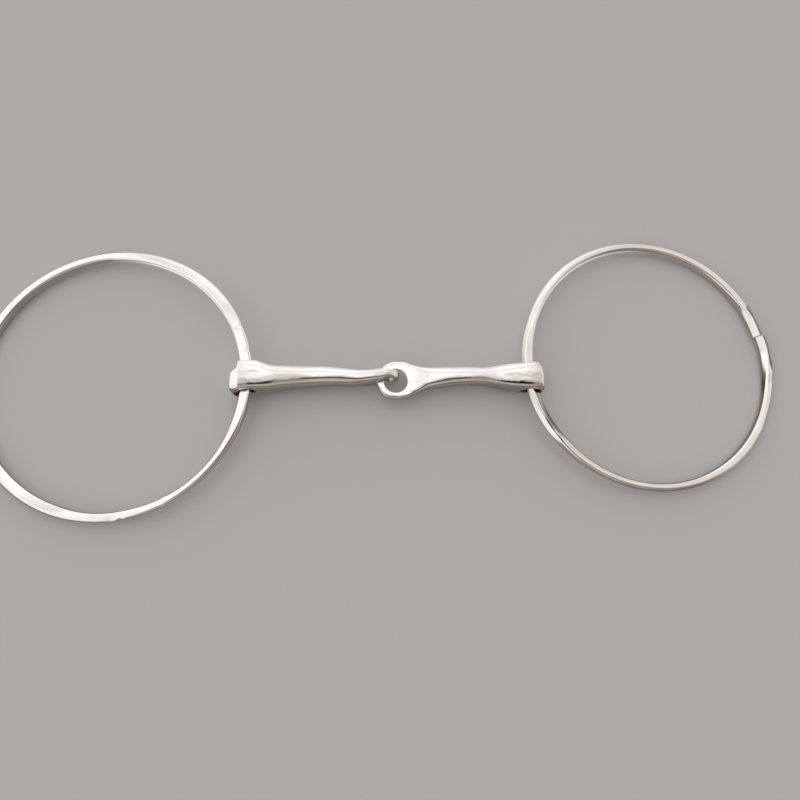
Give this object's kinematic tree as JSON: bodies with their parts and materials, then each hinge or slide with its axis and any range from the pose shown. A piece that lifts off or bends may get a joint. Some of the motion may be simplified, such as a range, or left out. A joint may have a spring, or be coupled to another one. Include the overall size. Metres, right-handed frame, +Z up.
{
  "type": "snaffle bit",
  "caption": "Single-jointed loose-ring snaffle bit: tapered cannons linked eye in eye, each with a large ring of flat-sided wire running through its butt.",
  "frame": {"origin": "middle of the footprint of the bit laid flat, on the surface that it rests on", "axes": "+X from the left ring to the right ring along the mouthpiece, +Y across it, +Z up, square to the surface that the bit lies on"},
  "size_m": [0.3643, 0.1305, 0.0138],
  "materials": {
    "left_cannon": "bright polished forging, lightly worn, with fine grinding marks on the ground flats",
    "right_cannon": "bright polished forging, lightly worn, with a coarse ground edge round the flat eye",
    "left_ring": "polished flat-sided wire with fine marks along it and a small step at the seam",
    "right_ring": "polished flat-sided wire with fine marks along it and its two ends a little out of line"
  },
  "bodies": {
    "left_cannon": {"left_cannon": "left_cannon"},
    "right_cannon": {"right_cannon": "right_cannon"},
    "left_ring": {"left_ring": "left_ring"},
    "right_ring": {"right_ring": "right_ring"}
  },
  "joints": [
    {"name": "centre_joint", "type": "hinge", "parent": "left_cannon", "child": "right_cannon", "pos_m": [0.0028, -0.0052, 0.0069], "axis": [0, 0, 1], "range_deg": [-90, 90]},
    {"name": "left_ring_swing", "type": "hinge", "parent": "left_cannon", "child": "left_ring", "pos_m": [-0.0632, -0.0032, 0.0069], "axis": [-0.0227, 0.9997, 0], "range_deg": [-90, 90]},
    {"name": "right_ring_swing", "type": "hinge", "parent": "right_cannon", "child": "right_ring", "pos_m": [0.0638, -0.0032, 0.0069], "axis": [0.134, -0.991, 0], "range_deg": [-90, 90]}
  ]
}
